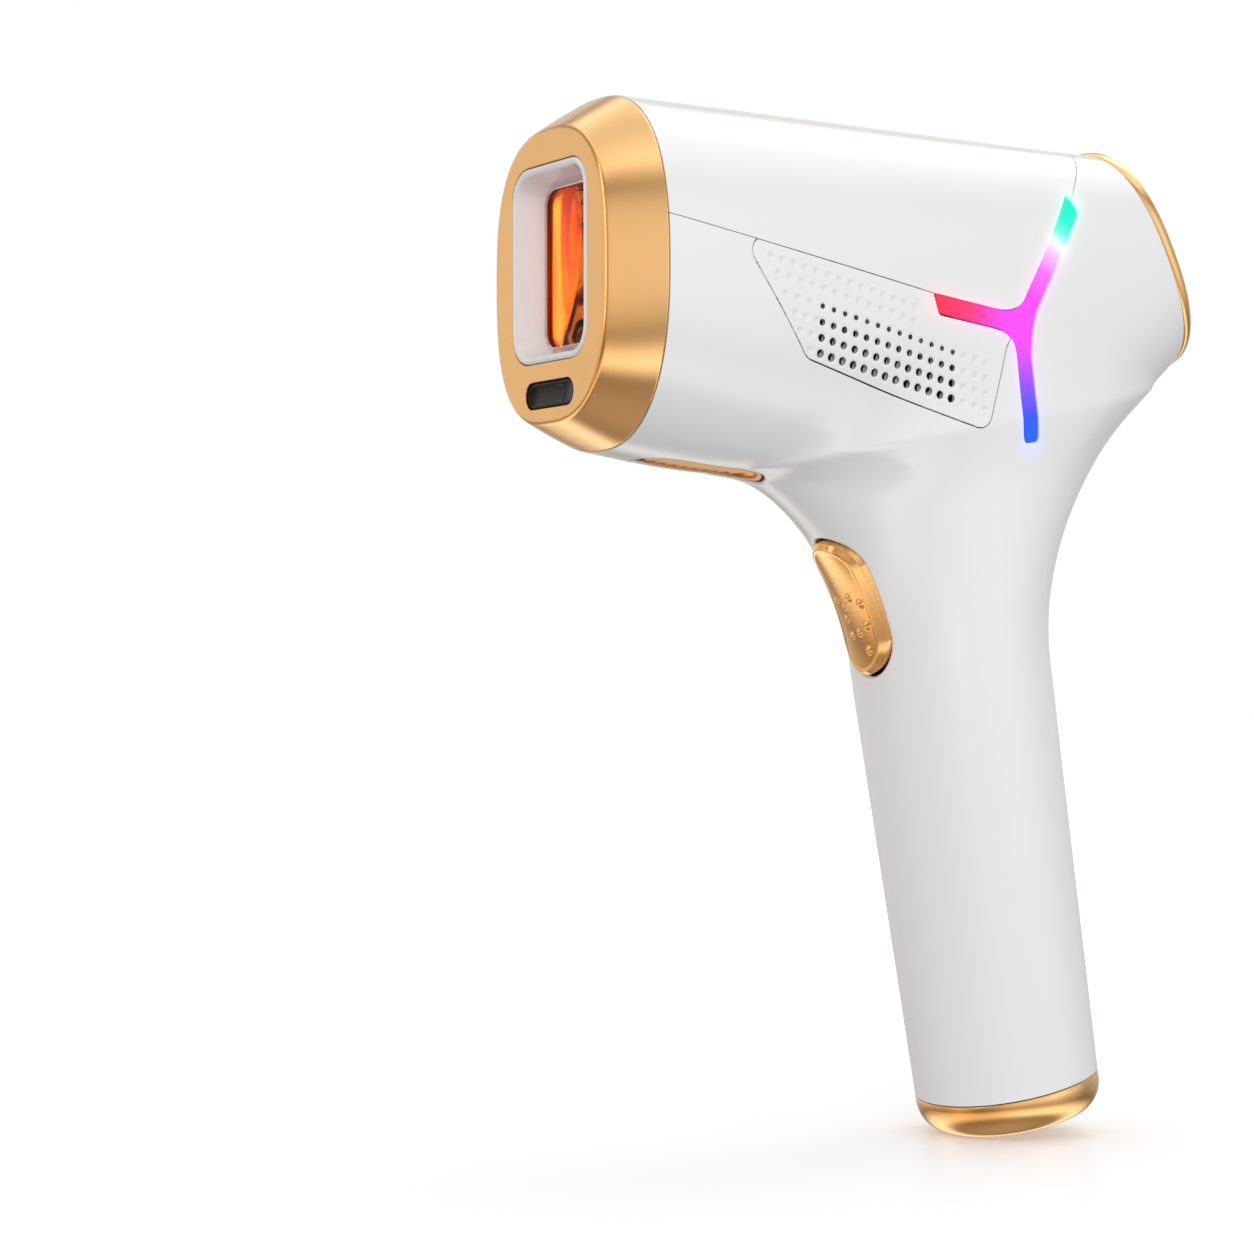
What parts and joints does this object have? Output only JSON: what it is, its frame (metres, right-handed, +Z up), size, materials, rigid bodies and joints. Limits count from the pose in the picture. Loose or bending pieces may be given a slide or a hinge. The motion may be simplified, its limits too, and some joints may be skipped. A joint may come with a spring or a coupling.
{
  "type": "ipl hair remover",
  "caption": "Pistol-grip pulsed-light hair remover with a gold treatment head, orange filter window, vented white barrel, lit side emblem and finger trigger.",
  "frame": {"origin": "middle of the bounding box's bottom, level with the lowest edge of the base cap", "axes": "-Y is the way the treatment face points, +Z is up along the standing handset, +X is its left side"},
  "size_m": [0.0536, 0.1446, 0.1998],
  "materials": {
    "white_shell": "satin-gloss white moulded ABS",
    "champagne_gold": "champagne-gold metallised coat on ABS, satin",
    "window_white": "gloss white",
    "orange_filter": "orange-red coated filter glass, polished",
    "clear_silicone": "translucent silicone",
    "smoked_black": "polished smoked black",
    "board_green": "solder-masked glass-fibre board",
    "bare_aluminium": "bright machined",
    "white_ceramic": "fired alumina",
    "copper": null,
    "chassis_plastic": "matte moulded nylon",
    "quartz": "clear fused quartz",
    "nickel": "nickel plate",
    "zinc_steel": "zinc-plated",
    "coil_winding": "enamelled copper winding on a bobbin",
    "black_plastic": "fine matte moulded",
    "dust_foam": "open black mesh",
    "light_guide": "milky lit acrylic, colour-graded",
    "board_white": "white solder mask",
    "display_glass": "dark display cell",
    "capacitor_sleeve": "aluminium can in a printed-free blue sleeve",
    "ferrite": "ferrite core with taped winding",
    "lead_insulation": "silicone insulated leads"
  },
  "bodies": {
    "handset": {"head_bezel": "champagne_gold", "window_frame": "window_white", "filter_glass": "orange_filter", "window_gasket": "clear_silicone", "skin_sensor_lens": "smoked_black", "skin_sensor_board": "board_green", "cold_frame": "bare_aluminium", "cooler_modules": "white_ceramic", "heat_spreader": "copper", "heat_sink": "bare_aluminium", "front_bulkhead": "chassis_plastic", "reflector": "bare_aluminium", "flash_lamp": "quartz", "lamp_end_caps": "nickel", "lamp_holders": "white_ceramic", "bulkhead_screws": "zinc_steel", "trigger_coil": "coil_winding", "blower_case": "black_plastic", "blower_cover": "black_plastic", "main_board": "board_green", "power_switch_chip": "black_plastic", "main_housing": "white_shell", "top_cover": "white_shell", "left_vent_panel": "white_shell", "right_vent_panel": "white_shell", "left_dust_screen": "dust_foam", "right_dust_screen": "dust_foam", "outlet_grille": "champagne_gold", "left_light_guide": "light_guide", "right_light_guide": "light_guide", "left_light_board": "board_white", "right_light_board": "board_white", "rear_ring": "champagne_gold", "rear_panel": "white_shell", "display_lens": "smoked_black", "display_module": "display_glass", "rear_board": "board_green", "rear_switches": "black_plastic", "trigger_guide": "chassis_plastic", "trigger_switch": "black_plastic", "trigger_board": "board_green", "power_board": "board_green", "flash_capacitors": "capacitor_sleeve", "step_up_transformer": "ferrite", "base_cap": "champagne_gold", "power_inlet": "black_plastic", "inlet_pin": "nickel", "inlet_leads": "lead_insulation"},
    "trigger": {"flash_trigger": "champagne_gold"},
    "impeller": {"blower_impeller": "black_plastic"},
    "power_key": {"power_button": "champagne_gold"},
    "mode_key": {"mode_button": "champagne_gold"}
  },
  "joints": [
    {"name": "trigger_press", "type": "slide", "parent": "handset", "child": "trigger", "axis": [0, 0.9011, 0.4337], "range_m": [0, 0.001], "stiffness_N_per_m": 800, "springref_m": -0.001},
    {"name": "impeller_spin", "type": "hinge", "parent": "handset", "child": "impeller", "pos_m": [0, -0.00525, 0.15767], "axis": [1, 0, 0], "continuous": true},
    {"name": "power_press", "type": "slide", "parent": "handset", "child": "power_key", "axis": [0, -0.9048, -0.4258], "range_m": [0, 0.0006], "stiffness_N_per_m": 600, "springref_m": -0.001},
    {"name": "mode_press", "type": "slide", "parent": "handset", "child": "mode_key", "axis": [0, -0.9048, -0.4258], "range_m": [0, 0.0006], "stiffness_N_per_m": 600, "springref_m": -0.001}
  ]
}
